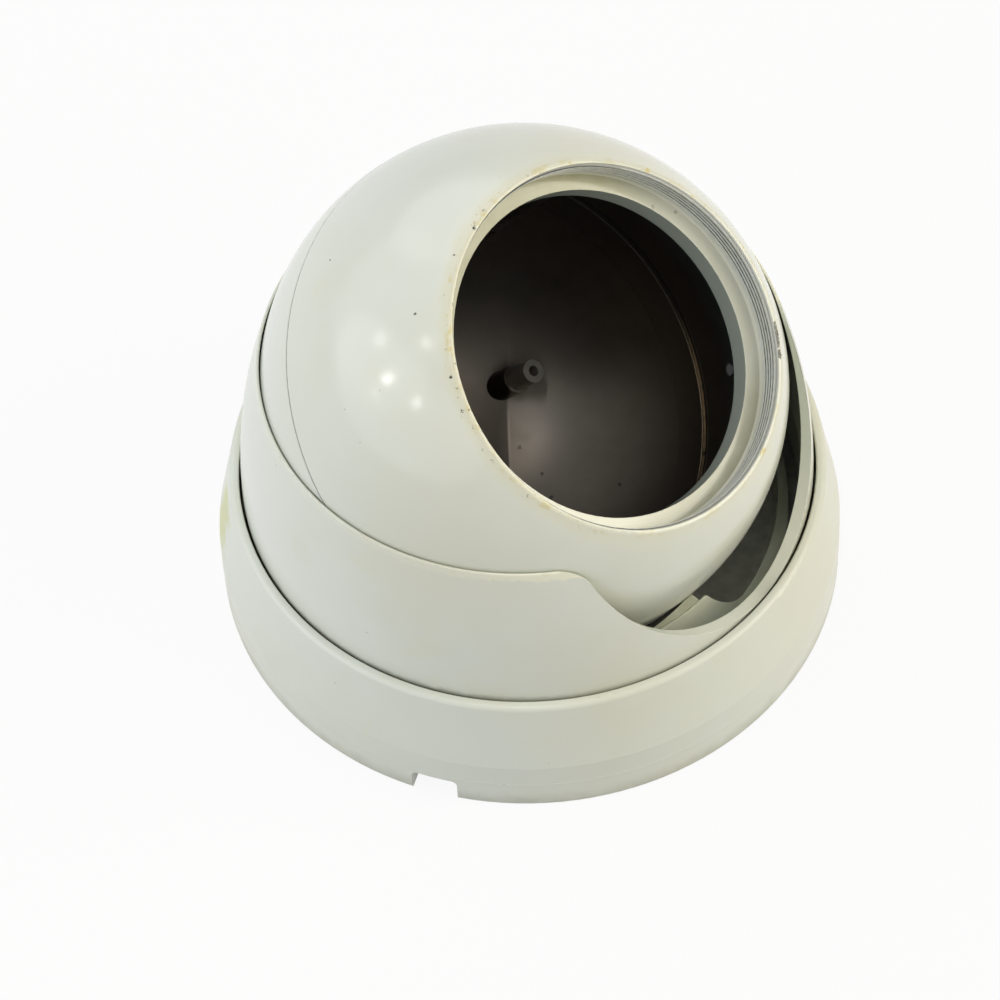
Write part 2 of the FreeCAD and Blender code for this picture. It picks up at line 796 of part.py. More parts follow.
def main():
    os.makedirs("parts", exist_ok=True)
    export("base_ring", make_base_ring())
    export("mounting_plate", make_plate())
    export("seat_ring", make_seat_ring())
    for number, pad in enumerate(make_seat_pads(), start=1):
        export("seat_pad_%d" % number, pad)
    export("seat_screws", make_seat_screws())
    export("glide_ring", make_glide_ring())
    export("ring_lock_screw", make_ring_lock())
    export("pan_stop_pin", make_stop_pin())
    export("collar", make_collar())
    export("ball_lock_screw", make_ball_lock())
    export("ball_front_shell", placed_ball(make_front_shell()))
    export("ball_rear_shell", placed_ball(make_rear_shell()))
    export("seam_gasket", placed_ball(make_gasket()))
    export("shell_screws", placed_ball(make_shell_screws()))
    export("bracket_standoffs", placed_ball(make_standoffs()))
    export("cable_grommet", placed_ball(make_grommet()))


main()
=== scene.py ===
import json
import math

import bmesh
import bpy
from mathutils import Matrix, Vector


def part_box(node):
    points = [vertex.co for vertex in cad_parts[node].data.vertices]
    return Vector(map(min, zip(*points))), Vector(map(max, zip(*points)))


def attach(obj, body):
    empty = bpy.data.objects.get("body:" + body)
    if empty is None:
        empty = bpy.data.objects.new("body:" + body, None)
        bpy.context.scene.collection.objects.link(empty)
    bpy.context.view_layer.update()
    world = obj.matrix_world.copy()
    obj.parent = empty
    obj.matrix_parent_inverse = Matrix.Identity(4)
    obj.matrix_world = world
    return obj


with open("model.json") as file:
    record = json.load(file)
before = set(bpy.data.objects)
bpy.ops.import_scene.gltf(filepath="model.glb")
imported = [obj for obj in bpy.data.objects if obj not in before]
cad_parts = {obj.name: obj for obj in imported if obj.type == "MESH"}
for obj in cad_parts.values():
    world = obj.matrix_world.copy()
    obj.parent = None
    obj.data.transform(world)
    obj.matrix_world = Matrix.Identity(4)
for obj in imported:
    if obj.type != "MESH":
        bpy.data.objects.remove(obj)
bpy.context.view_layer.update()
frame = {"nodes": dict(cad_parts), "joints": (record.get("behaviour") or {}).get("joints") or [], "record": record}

# Looks for the empty eyeball housing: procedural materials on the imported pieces, the thread of
# the opening, a pale stage, lamps and the camera. Lengths are in metres, and small ones are
# given in millimetres times mm. Angles are in degrees where nothing else is said. Masks go from
# 0 to 1.

mm = 0.001
nodes = frame["nodes"]
mounts = {m["name"]: m for m in frame["record"]["mounts"]}
joints = {j["name"]: j for j in frame["joints"]}

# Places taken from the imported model. Heights and depths of the opening's surfaces are distances
# from the ball's centre along the mouth's axis.
rim_edge = 0.15 * mm
ball_centre = Vector(joints["ball_tilt"]["pos_m"])
thread_mount = mounts["bezel_thread"]
thread_radius = thread_mount["dims"]["r_mm"] * mm
thread_length = thread_mount["dims"]["length_mm"] * mm
thread_middle = (Vector(thread_mount["pos_m"]) - ball_centre).length
bore_mount = mounts["bezel_bore"]
bore_radius = bore_mount["dims"]["r_mm"] * mm
bore_length = bore_mount["dims"]["length_mm"] * mm
bore_middle = (Vector(bore_mount["pos_m"]) - ball_centre).length
mouth_axis = Vector(thread_mount["axis"]).normalized()
mouth_side = Vector((1, 0, 0))
mouth_up = mouth_axis.cross(mouth_side)
mouth_height = thread_middle + thread_length / 2 + rim_edge
ledge_height = bore_middle + bore_length / 2
bore_low = bore_middle - bore_length / 2
base_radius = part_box("base_ring")[1].x
lip_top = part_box("base_ring")[1].z
ball_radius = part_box("ball_rear_shell")[1].x
collar_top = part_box("collar")[1].z

# The opening's thread, right-handed and with flat crests. A turn has a number of steps, and the
# ridge rises and falls away over some of them at its ends.
thread_pitch = 0.8 * mm
thread_crest = 0.45 * mm
thread_ridge = 0.4 * mm
thread_sunk = 0.1 * mm
thread_high = mouth_height - rim_edge
thread_low = mouth_height - 4.1 * mm
thread_start = math.radians(80)
thread_steps = 160
thread_rise = thread_steps / 8
thread_fall = thread_steps / 4

# The rubber ring between the shells, as a depth behind the ball's middle.
gasket_depth = 8.95 * mm
gasket_half = 0.75 * mm

# The gap between base and collar: heights where its painted shade starts and is full.
gap_starts = lip_top - 0.6 * mm
gap_full = lip_top - 1.6 * mm

# The left of the rim as the camera sees it, the low front of the ball's inside, and behind left.
rim_left_angle = math.radians(132)
rim_left = mouth_side * math.cos(rim_left_angle) + mouth_up * math.sin(rim_left_angle)
low_front_way = Vector((0.3, -0.5, -0.8))
behind_left_way = Vector((-0.75, 0.66, 0))

# The stain on the base: its middle, in a space squashed along Z, which makes the stain tall.
stain_squash = Vector((1, 1, 0.35))
stain_middle = Vector((-35.0, 44.6, 6.1)) * mm

# Marks on the ball in millimetres: x, y, z and reach, or two ends and reach.
ledge_spots = [(28.3, -9.4, 76.6, 0.9), (31.1, -12.4, 74.3, 0.8), (31.6, -13.6, 73.4, 0.7),
               (17.2, -38.4, 54.3, 0.5)]
rim_chips = [(-22.4, 6.1, 89.9, 0.6), (-28.1, -5.1, 86.3, 0.7), (-30.0, -7.7, 84.4, 0.6),
             (-31.1, -9.3, 83.1, 0.8), (-4.9, 5.5, 95.3, 0.8), (-11.0, 5.6, 94.3, 0.6),
             (-16.0, 28.8, 82.6, 0.5)]
rim_scrapes = [((26.7, -36.2, 63.4), (22.6, -39.6, 60.7), 1.1)]
rim_stains = [(6.5, -46.1, 55.7, 2.4), (18.2, 0.7, 91.6, 1.6), (29.0, -8.0, 85.0, 1.8),
              (31.8, -15.5, 79.6, 1.5)]
inside_specks = [(13.5, 11.2, 7.2, 1.3), (11.6, 5.0, 5.4, 1.0), (8.6, 1.1, 4.5, 1.1),
                 (16.1, -9.5, 7.7, 0.9)]

# The painted pool of light inside the ball: a point on its straight edge with the directions across
# and along the edge, its middle and its brightest point. Then the pale spot at the right.
lit_edge = Vector((14.3, 14.4, 8.5)) * mm
lit_across = Vector((0.602, -0.796, -0.071))
lit_along = Vector((0.733, 0.515, 0.445))
lit_middle = Vector((15.2, 6.2, 6.8)) * mm
lit_brightest = Vector((14.0, 11.5, 7.6)) * mm
pale_spot = Vector((33.7, -22.4, 32.6)) * mm

# Depth of the bump in paint, in the thread's paint and in plastic.
paint_relief = 0.006 * mm
thread_relief = 0.008 * mm
plastic_relief = 0.01 * mm

# The stage: a floor just under the base that is white beside it, and the world's light.
floor_half = 4.0
floor_height = -0.2 * mm
floor_grey = (0.52, 0.52, 0.51, 1)
floor_white = 1.04
floor_share = 0.88
white_starts = base_radius - 10 * mm
white_full = base_radius - 8 * mm
world_light = 0.38
world_white = 1.0

# The lamps: name, azimuth, elevation, distance, width, height, watts, colour and turn in
# radians. The highlights are the small bright spots on the ball's left.
plain = (1, 1, 1)
cool = (0.95, 1.0, 1.08)
warm = (1.06, 1.0, 0.86)
lamps = [
    ("overhead", -66, 74, 1.6, 0.03, 0.60, 3.0, plain, 0.0),
    ("left", -118, 22, 1.8, 3.2, 1.3, 12.4, cool, 0.0),
    ("left_back", -155, 34, 1.8, 2.6, 1.7, 6.6, cool, 0.0),
    ("back", 150, 40, 1.6, 1.3, 1.3, 4.5, plain, 0.0),
    ("right", 18, 34, 1.6, 1.4, 1.4, 10.2, warm, 0.0),
    ("right_low", 35, 22, 1.6, 1.1, 0.9, 7.5, warm, 0.0),
    ("highlight_1", -146, 31, 1.2, 0.05, 0.07, 0.16, plain, 0.0),
    ("highlight_2", -130, 49, 1.2, 0.10, 0.045, 0.18, plain, 0.5),
    ("highlight_3", -129, 28, 1.2, 0.035, 0.10, 0.42, plain, -0.5),
    ("highlight_4", -111, 31, 1.2, 0.05, 0.09, 0.20, plain, 0.0),
    ("highlight_5", -129, 19, 1.2, 0.06, 0.05, 0.07, plain, 0.0),
]

# The camera, fitted to the photograph.
camera_place = Vector((-0.44039, -0.31715, 0.76138))
camera_right = Vector((0.5576, -0.8296, -0.0306))
camera_up = Vector((0.6817, 0.4366, 0.5872))
camera_lens = 180.0
camera_film = 36.0
camera_near = 10 * mm


def linear(red, green, blue):
    """Scene colour of a display colour given as 0 to 255."""
    parts = []
    for value in (red / 255, green / 255, blue / 255):
        parts.append(value / 12.92 if value <= 0.04045 else ((value + 0.055) / 1.055) ** 2.4)
    return (*parts, 1.0)


class Look:
    """A procedural material: a Principled shader and the nodes that drive it."""

    # The mix node's sockets for colours, which share their names with those for numbers.
    mix_factor, mix_low, mix_high, mix_result = 0, 6, 7, 2

    # Cosines between the true and the rounded surface, where an edge starts and is full.
    edge_starts, edge_full = 0.985, 0.86

    # Marks are torn by noise times a gain, and stand where the sum passes these values.
    torn_gain, torn_starts, torn_full = 3.0, 2.15, 2.35

    def __init__(self, name, round_edge):
        self.material = bpy.data.materials.new(name)
        self.material.use_nodes = True
        self.tree = self.material.node_tree
        self.tree.nodes.clear()
        self.shader = self.add("ShaderNodeBsdfPrincipled")
        output = self.add("ShaderNodeOutputMaterial")
        self.feed(output.inputs["Surface"], self.shader.outputs["BSDF"])
        self.place = self.add("ShaderNodeTexCoord").outputs["Object"]
        self.facing = self.add("ShaderNodeNewGeometry").outputs["Normal"]
        bevel = self.add("ShaderNodeBevel", samples=4)
        bevel.inputs["Radius"].default_value = round_edge
        self.rounded = bevel.outputs["Normal"]

    def add(self, kind, **settings):
        made = self.tree.nodes.new(kind)
        for name, value in settings.items():
            setattr(made, name, value)
        return made

    def feed(self, socket, value):
        """Links a socket to another one, or sets its value."""
        if isinstance(value, bpy.types.NodeSocket):
            self.tree.links.new(value, socket)
        else:
            socket.default_value = value

    def math(self, operation, *values, clamp=False):
        made = self.add("ShaderNodeMath", operation=operation, use_clamp=clamp)
        for socket, value in zip(made.inputs, values):
            self.feed(socket, value)
        return made.outputs[0]

    def vector(self, operation, *values):
        made = self.add("ShaderNodeVectorMath", operation=operation)
        for socket, value in zip(made.inputs, values):
            self.feed(socket, value)
        single = operation in ("DOT_PRODUCT", "LENGTH", "DISTANCE")
        return made.outputs["Value" if single else "Vector"]

    def fade(self, value, start, end):
        """Rises smoothly from 0 at start to 1 at end, which may be the smaller of the two."""
        made = self.add("ShaderNodeMapRange", interpolation_type="SMOOTHSTEP")
        self.feed(made.inputs["Value"], value)
        self.feed(made.inputs["From Min"], start)
        self.feed(made.inputs["From Max"], end)
        return made.outputs["Result"]

    def noise(self, size, detail=2.0, roughness=0.5):
        """Noise from 0 to 1 whose features are about the given size."""
        made = self.add("ShaderNodeTexNoise")
        self.feed(made.inputs["Vector"], self.place)
        made.inputs["Scale"].default_value = 1 / size
        made.inputs["Detail"].default_value = detail
        made.inputs["Roughness"].default_value = roughness
        return made.outputs[0]

    def patches(self, size, low, high, detail=4, roughness=0.6):
        """Patches: 0 where noise is under low and 1 where it is over high."""
        return self.fade(self.noise(size, detail, roughness), low, high)

    def ragged(self, distance, size, amount, detail=3, roughness=0.5):
        """A distance with noise added, from nothing to an amount."""
        return self.math("MULTIPLY_ADD", self.noise(size, detail, roughness), amount, distance)

    def level(self, factor, low, high):
        """A number that goes from low to high with a mask."""
        return self.math("MULTIPLY_ADD", factor, high - low, low)

    def both(self, *masks):
        found = masks[0]
        for mask in masks[1:]:
            found = self.math("MULTIPLY", found, mask)
        return found

    def either(self, *masks):
        found = masks[0]
        for mask in masks[1:]:
            found = self.math("MAXIMUM", found, mask)
        return found

    def over(self, below, colour, *masks):
        """A colour laid over another where all masks are 1. A number is a share of it."""
        made = self.add("ShaderNodeMix", data_type="RGBA")
        self.feed(made.inputs[self.mix_factor], self.both(*masks))
        self.feed(made.inputs[self.mix_low], below)
        self.feed(made.inputs[self.mix_high], colour)
        return made.outputs[self.mix_result]

    def part(self, axis):
        """One coordinate of the place, X, Y or Z."""
        split = self.add("ShaderNodeSeparateXYZ")
        self.feed(split.inputs[0], self.place)
        return split.outputs[axis]

    def near(self, point):
        """Distance from a point."""
        return self.vector("DISTANCE", self.place, point)

    def height_over(self, centre, axis):
        """Distance from the plane through a centre, along an axis."""
        return self.vector("DOT_PRODUCT", self.vector("SUBTRACT", self.place, centre), axis)

    def radius_about(self, centre, axis):
        """Distance from the line through a centre, along an axis."""
        offset = self.vector("SUBTRACT", self.place, centre)
        return self.vector("LENGTH", self.vector("CROSS_PRODUCT", offset, axis))

    def near_line(self, start, end):
        """Distance from the straight piece between two points."""
        span = end - start
        offset = self.vector("SUBTRACT", self.place, start)
        share = self.math("DIVIDE", self.vector("DOT_PRODUCT", offset, span), span.length_squared,
                          clamp=True)
        made = self.add("ShaderNodeVectorMath", operation="SCALE")
        made.inputs[0].default_value = span
        self.feed(made.inputs["Scale"], share)
        return self.vector("DISTANCE", offset, made.outputs["Vector"])

    def marks(self, spots, scrapes=(), grain=0.7 * mm):
        """Small ragged marks at spots and along scrapes, broken up by noise of a grain."""
        found = []
        for x, y, z, reach in spots:
            found.append(self.fade(self.near(Vector((x, y, z)) * mm), reach * mm, 0.0))
        for start, end, reach in scrapes:
            away = self.near_line(Vector(start) * mm, Vector(end) * mm)
            found.append(self.fade(away, reach * mm, 0.0))
        torn = self.noise(grain, detail=5, roughness=0.75)
        summed = self.math("MULTIPLY_ADD", torn, self.torn_gain, self.either(*found))
        return self.fade(summed, self.torn_starts, self.torn_full)

    def edges(self):
        """1 along sharp edges, 0 elsewhere."""
        along = self.vector("DOT_PRODUCT", self.rounded, self.facing)
        return self.fade(along, self.edge_starts, self.edge_full)

    def finish(self, colour, roughness, bump, relief):
        """Feeds the shader and gives the material."""
        self.feed(self.shader.inputs["Base Color"], colour)
        self.feed(self.shader.inputs["Roughness"], roughness)
        node = self.add("ShaderNodeBump")
        node.inputs["Distance"].default_value = relief
        self.feed(node.inputs["Height"], bump)
        self.feed(node.inputs["Normal"], self.rounded)
        self.feed(self.shader.inputs["Normal"], node.outputs["Normal"])
        return self.material


cream = linear(217, 220, 209)
cream_warm = linear(214, 214, 197)
# Paler cream: a painted highlight on edges and on the ledge's corner, and real wear along the rim.
cream_highlight_and_wear = linear(228, 227, 208)
# A painted highlight along the collar's lip.
lip_highlight = linear(236, 233, 208)
lip_soiled = linear(196, 176, 140)
stain_beige = linear(216, 211, 182)
stain_yellow = linear(206, 190, 110)
stain_brown = linear(96, 80, 50)
stain_green = linear(196, 198, 122)
# Olive for painted shade just above the collar's gap, and for darkening towards the base's foot.
olive_dark = linear(126, 126, 96)
chip_dark = linear(46, 42, 30)
# Painted shade for the gap between base and collar.
gap_shade = linear(88, 83, 60)
seam_grey = linear(96, 102, 98)
thread_light = linear(230, 233, 229)
# Painted shade for the thread's roots.
thread_root_shade = linear(42, 46, 48)
ledge_cream = linear(220, 220, 202)
# Painted shade on the ledge and wall of the opening, where the rim shades them.
ledge_shade = linear(160, 158, 122)
bore_grey = linear(170, 178, 166)
inside_brown = linear(98, 92, 85)
inside_blue = linear(118, 138, 146)
inside_dull = linear(70, 66, 60)
# Painted shadow beside the pool of light inside the ball.
inside_shaded = linear(74, 68, 61)
inside_speck = linear(34, 26, 21)
# Painted light inside the ball: the pool and its brightest middle.
painted_light_grey = linear(158, 149, 137)
painted_light_bright = linear(186, 172, 154)
spot_pale = linear(176, 178, 184)
# Gold for painted glints along edges inside the ball and on the seam's rubber.
gold_glint = linear(196, 172, 134)
inner_grey = linear(206, 213, 200)
rubber_black = linear(26, 25, 24)
seat_light = linear(214, 219, 204)
seat_shade = linear(206, 208, 190)
# Painted shadow where the ball comes close to the seat.
seat_gap_shadow = linear(22, 22, 12)
pad_light = linear(204, 209, 190)
pad_shade = linear(188, 190, 168)
# Painted shadow on a pad near the ball's gap.
pad_gap_shadow = linear(18, 18, 10)


def paint_ground(look):
    """Cream paint with slight changes of tone, faint patches of soiling and specks."""
    tone = look.patches(45 * mm, 0.35, 0.7, detail=3, roughness=0.5)
    colour = look.over(cream, cream_warm, tone)
    colour = look.over(colour, stain_beige, look.patches(11 * mm, 0.58, 0.78), 0.22)
    specks = look.patches(1.7 * mm, 0.765, 0.80, detail=2)
    return look.over(colour, stain_brown, specks, 0.3)


def paint_bump(look):
    """Fine orange peel over a long, faint wave."""
    wave = look.noise(9 * mm, detail=1)
    return look.math("MULTIPLY_ADD", wave, 3.0, look.noise(1.1 * mm))


def paint_gloss(look, duller=0.0):
    """Roughness of the paint, higher in worn patches."""
    worn = look.patches(6 * mm, 0.35, 0.75, roughness=0.65)
    return look.level(worn, 0.14 + duller, 0.21 + duller)


def base_look():
    """Paint with a green-yellow stain at the left, a painted highlight along the edges, painted shade in the gap,
    and darker towards the foot.
    """
    look = Look("base_paint", round_edge=0.3 * mm)
    height = look.part("Z")
    radius = look.radius_about(Vector(), Vector((0, 0, 1)))
    # A painted highlight along the edges.
    colour = look.over(paint_ground(look), cream_highlight_and_wear, look.edges(), 0.3)

    squashed = look.vector("MULTIPLY", look.place, stain_squash)
    side = look.ragged(look.vector("DISTANCE", squashed, stain_middle), 3.5 * mm, 12 * mm,
                       detail=5, roughness=0.65)
    below_lip = look.fade(height, lip_top - 1.5 * mm, lip_top - 4 * mm)
    colour = look.over(colour, stain_green, look.fade(side, 12.6 * mm, 8 * mm), below_lip, 0.8)

    # Darker towards the foot.
    foot = look.fade(look.ragged(height, 4 * mm, 4 * mm), 6.2 * mm, 1.2 * mm)
    colour = look.over(colour, olive_dark, foot, 0.4)
    # Painted shade in the gap, on the base's bore below its lip.
    bore = look.fade(radius, base_radius - 4.4 * mm, base_radius - 4.6 * mm)
    colour = look.over(colour, gap_shade, bore, look.fade(height, gap_starts, gap_full))
    colour = look.over(colour, inner_grey, look.fade(height, 0.1 * mm, 0.02 * mm))
    return look.finish(colour, paint_gloss(look, duller=0.16), paint_bump(look), paint_relief)


def collar_look():
    """Paint with a painted highlight on the edges and the lip, brown flecks of soiling on the lip, painted shade
    over and in the gap, and a greyer inside.
    """
    look = Look("collar_paint", round_edge=0.28 * mm)
    height = look.part("Z")
    # A painted highlight along the edges.
    colour = look.over(paint_ground(look), cream_highlight_and_wear, look.edges(), 0.55)

    # A painted highlight along the lip, fainter behind at the left; the brown flecks on it are real soiling.
    behind = look.fade(look.vector("DOT_PRODUCT", look.place, behind_left_way), 0.0, 30 * mm)
    ragged = look.ragged(height, 3 * mm, 2.4 * mm, detail=4, roughness=0.6)
    lip = look.fade(ragged, collar_top - 0.6 * mm, collar_top + 0.2 * mm)
    colour = look.over(colour, lip_highlight, lip, look.level(behind, 0.9, 0.2))
    flecks = look.patches(2.2 * mm, 0.56, 0.70, detail=5, roughness=0.7)
    colour = look.over(colour, lip_soiled, lip, flecks, 0.35)
    # Painted shade just above the gap, stronger behind at the left, then painted shade in the gap itself.
    low = look.fade(ragged, lip_top + 2.2 * mm, lip_top + 0.8 * mm)
    colour = look.over(colour, olive_dark, low, look.level(behind, 0.08, 0.35))
    colour = look.over(colour, gap_shade, look.fade(height, gap_starts, gap_full))

    outward = look.vector("MULTIPLY", look.place, Vector((1, 1, 0)))
    inside = look.fade(look.vector("DOT_PRODUCT", outward, look.facing), -5 * mm, -20 * mm)
    colour = look.over(colour, inner_grey, inside, 0.7)
    return look.finish(colour, paint_gloss(look, duller=0.06), paint_bump(look), paint_relief)


def wall_colour(look, depth, radius):
    """The opening's own surfaces: threaded wall, corner and ledge, with a painted highlight on the corner and
    painted shade on the upper and lower parts.
    """
    spread = look.noise(4 * mm, detail=3)
    wall = look.over(thread_light, ledge_cream, spread)
    # The corner at the ledge's edge gets a painted highlight.
    corner = look.fade(depth, ledge_height + 0.45 * mm, ledge_height + 0.35 * mm)
    wall = look.over(wall, cream_highlight_and_wear, corner)

    ring_pitch = 0.62 * mm
    rings = look.math("SINE", look.math("MULTIPLY", radius, 2 * math.pi / ring_pitch))
    ledge = look.over(ledge_cream, thread_light, look.fade(rings, 0.2, 1.0), spread, 0.4)
    ledge = look.over(ledge, stain_brown, look.marks(ledge_spots), 0.4)

    # Painted shade on the upper and lower parts of the ledge and, more faintly, of the wall.
    up_mouth = look.height_over(ball_centre, mouth_up)
    upper = look.both(look.fade(up_mouth, 2 * mm, 26 * mm), look.level(spread, 0.7, 1.0))
    lower = look.both(look.fade(up_mouth, -21 * mm, -29 * mm), look.level(spread, 0.3, 0.6))
    painted_shade = look.either(upper, lower)
    ledge = look.over(ledge, ledge_shade, painted_shade)
    wall = look.over(wall, ledge_shade, painted_shade, 0.6)
    flat = look.fade(depth, ledge_height + 0.06 * mm, ledge_height + 0.03 * mm)
    return look.over(wall, ledge, flat)


def rim_wear(look, colour, depth):
    """Beige wear along the rim, strongest at the left, with chips and yellow stains."""
    leftness = look.fade(look.height_over(ball_centre, rim_left), -5 * mm, 30 * mm)
    near_rim = look.ragged(depth, 4 * mm, 2.4 * mm, detail=5, roughness=0.65)
    soft = look.fade(near_rim, mouth_height - 2.2 * mm, mouth_height + 0.4 * mm)
    colour = look.over(colour, cream_highlight_and_wear, soft, 0.25)
    worn = look.fade(near_rim, mouth_height - 1.0 * mm, mouth_height + 0.8 * mm)
    colour = look.over(colour, stain_beige, worn, look.level(leftness, 0.2, 0.55))
    line = look.both(look.fade(depth, mouth_height - 0.8 * mm, mouth_height - 0.5 * mm),
                     look.patches(3 * mm, 0.50, 0.66, detail=5, roughness=0.7))
    colour = look.over(colour, stain_yellow, line, look.level(leftness, 0.3, 0.6))
    brown = look.both(look.fade(near_rim, mouth_height - 0.2 * mm, mouth_height + 0.5 * mm),
                      look.patches(1.3 * mm, 0.62, 0.70, detail=3, roughness=0.7))
    colour = look.over(colour, stain_brown, brown, leftness, 0.6)
    colour = look.over(colour, chip_dark, look.marks(rim_chips, rim_scrapes), 0.92)
    return look.over(colour, stain_yellow, look.marks(rim_stains, grain=1 * mm), 0.75)


def low_front(look):
    """1 on the low front side of the ball's inside, 0 behind."""
    return look.fade(look.height_over(ball_centre, low_front_way), 27 * mm, 38 * mm)


def inside_colour(look, depth):
    """The dark inside of the ball with a painted pool of light, painted shadow beside it and a painted glint on
    the edges, and a mask of what looks lit and isn't metallic.
    """
    front = look.fade(depth, -4 * mm, 6 * mm)
    dark = look.over(inside_brown, inside_blue, front)
    dark = look.over(dark, inside_dull, look.patches(13 * mm, 0.35, 0.7), 0.35)
    # A painted glint along the edges, strongest on the low front side where the light falls.
    dark = look.over(dark, gold_glint, look.edges(), look.level(low_front(look), 0.04, 0.8))

    # Painted light and shade: a pool of light with a straight edge, painted shadow on the far side of that edge,
    # and a brighter middle.
    across = look.height_over(lit_edge, lit_across)
    along = look.height_over(lit_edge, lit_along)
    painted_light = look.both(look.fade(across, -0.2 * mm, 0.5 * mm),
                      look.fade(along, 20 * mm, 2 * mm),
                      look.fade(look.near(lit_middle), 34 * mm, 6 * mm),
                      look.level(look.noise(7 * mm, detail=4, roughness=0.6), 0.65, 1.2))
    shaded = look.both(look.fade(across, 0.4 * mm, -0.3 * mm), look.fade(along, 14 * mm, 2 * mm))
    dark = look.over(dark, inside_shaded, shaded)
    dark = look.over(dark, painted_light_grey, painted_light)
    nearest = look.fade(look.near(lit_brightest), 11 * mm, 2 * mm)
    dark = look.over(dark, painted_light_bright, nearest, painted_light)
    pale = look.fade(look.near(pale_spot), 1.4 * mm, 0.8 * mm)
    return look.over(dark, spot_pale, pale), look.either(painted_light, pale)


def ball_look():
    """Paint outside, worn along the rim; a pale ledge with painted shade, a grey bore and a dark satin inside with
    painted light and shadow.
    """
    look = Look("ball_paint", round_edge=0.22 * mm)
    depth = look.height_over(ball_centre, mouth_axis)
    radius = look.radius_about(ball_centre, mouth_axis)
    colour = rim_wear(look, paint_ground(look), depth)
    seam = look.fade(look.math("ABSOLUTE", depth), 0.22 * mm, 0.08 * mm)
    colour = look.over(colour, seam_grey, seam, 0.9)

    opening = look.both(
        look.fade(depth, ledge_height - 0.06 * mm, ledge_height - 0.03 * mm),
        look.fade(radius, thread_radius + 0.12 * mm, thread_radius + 0.04 * mm))
    colour = look.over(colour, wall_colour(look, depth, radius), opening)
    bore = look.both(look.fade(depth, ledge_height - 0.03 * mm, ledge_height - 0.06 * mm),
                     look.fade(radius, bore_radius + 0.12 * mm, bore_radius + 0.06 * mm))
    colour = look.over(colour, bore_grey, bore)

    inside = look.both(
        look.fade(look.near(ball_centre), ball_radius - 1.3 * mm, ball_radius - 1.6 * mm),
        look.fade(depth, bore_low + 0.12 * mm, bore_low + 0.04 * mm))
    dark, lit = inside_colour(look, depth)
    colour = look.over(colour, dark, inside)
    specks = look.marks(inside_specks, grain=1.1 * mm)
    colour = look.over(colour, inside_speck, specks, inside, 0.6)

    look.feed(look.shader.inputs["Metallic"], look.both(inside, look.level(lit, 0.86, 0.0)))
    roughness = look.math("MULTIPLY_ADD", inside, 0.24, paint_gloss(look))
    return look.finish(colour, roughness, paint_bump(look), paint_relief)


def thread_look():
    """Pale crests and painted shade in the roots, fainter in the turn next to the rim."""
    look = Look("thread_paint", round_edge=0.1 * mm)
    radius = look.ragged(look.radius_about(ball_centre, mouth_axis), 0.9 * mm, 0.12 * mm)
    # Painted shade in the roots of the thread, lighter in the turn next to the rim.
    root = look.fade(radius, thread_radius - 0.35 * mm, thread_radius - 0.20 * mm)
    depth = look.height_over(ball_centre, mouth_axis)
    top_turn = look.fade(depth, mouth_height - 0.9 * mm, mouth_height - 0.5 * mm)
    colour = look.over(thread_light, ledge_cream, look.noise(5 * mm, detail=3))
    colour = look.over(colour, thread_root_shade, root, look.level(top_turn, 1.0, 0.55))
    return look.finish(colour, 0.3, look.noise(0.6 * mm), thread_relief)


def gasket_look():
    """Black rubber with a shiny amber line along each shell, a painted glint strongest on the low front side where
    the light falls.
    """
    look = Look("gasket_rubber", round_edge=0.1 * mm)
    depth = look.height_over(ball_centre, mouth_axis)
    middle = look.math("ABSOLUTE", look.math("ADD", depth, gasket_depth))
    # A painted glint along each shell, strongest on the low front side where the light falls.
    glint_lines = look.both(look.fade(middle, gasket_half - 0.5 * mm, gasket_half - 0.3 * mm),
                      look.level(low_front(look), 0.03, 1.0),
                      look.patches(2 * mm, 0.25, 0.5))
    look.feed(look.shader.inputs["Metallic"], glint_lines)
    return look.finish(look.over(rubber_black, gold_glint, glint_lines), look.level(glint_lines, 0.6, 0.3),
                       look.noise(0.8 * mm, detail=3), plastic_relief)


def seat_look():
    """Pale paint with a painted highlight on the edges and painted shadow where the ball comes close."""
    look = Look("seat_paint", round_edge=0.2 * mm)
    colour = look.over(seat_light, seat_shade, look.patches(6 * mm, 0.3, 0.7))
    # A painted highlight along the edges.
    colour = look.over(colour, cream_highlight_and_wear, look.edges(), 0.5)
    # Painted shadow where the ball comes close.
    gap_shadow = look.fade(look.ragged(look.near(ball_centre), 2 * mm, 0.4 * mm),
                      ball_radius + 1.6 * mm, ball_radius + 1.2 * mm)
    colour = look.over(colour, seat_gap_shadow, gap_shadow)
    return look.finish(colour, look.level(gap_shadow, 0.35, 0.7), paint_bump(look), paint_relief)


def pad_look():
    """Pale plastic, black with painted shadow near one end of the ball's gap."""
    look = Look("pad_plastic", round_edge=0.1 * mm)
    # Painted shadow near one end of the ball's gap, where the ball comes close.
    lean = 0.11
    reach = look.math("MULTIPLY_ADD", look.part("X"), lean, look.near(ball_centre))
    gap_shadow = look.both(look.fade(reach, ball_radius - 0.52 * mm, ball_radius - 0.62 * mm),
                      look.fade(look.part("Y"), -20 * mm, -30 * mm))
    colour = look.over(pad_light, pad_shade, look.patches(4 * mm, 0.3, 0.7))
    colour = look.over(colour, pad_gap_shadow, gap_shadow)
    return look.finish(colour, look.level(gap_shadow, 0.4, 0.7), look.noise(0.8 * mm, detail=3),
                       plastic_relief)


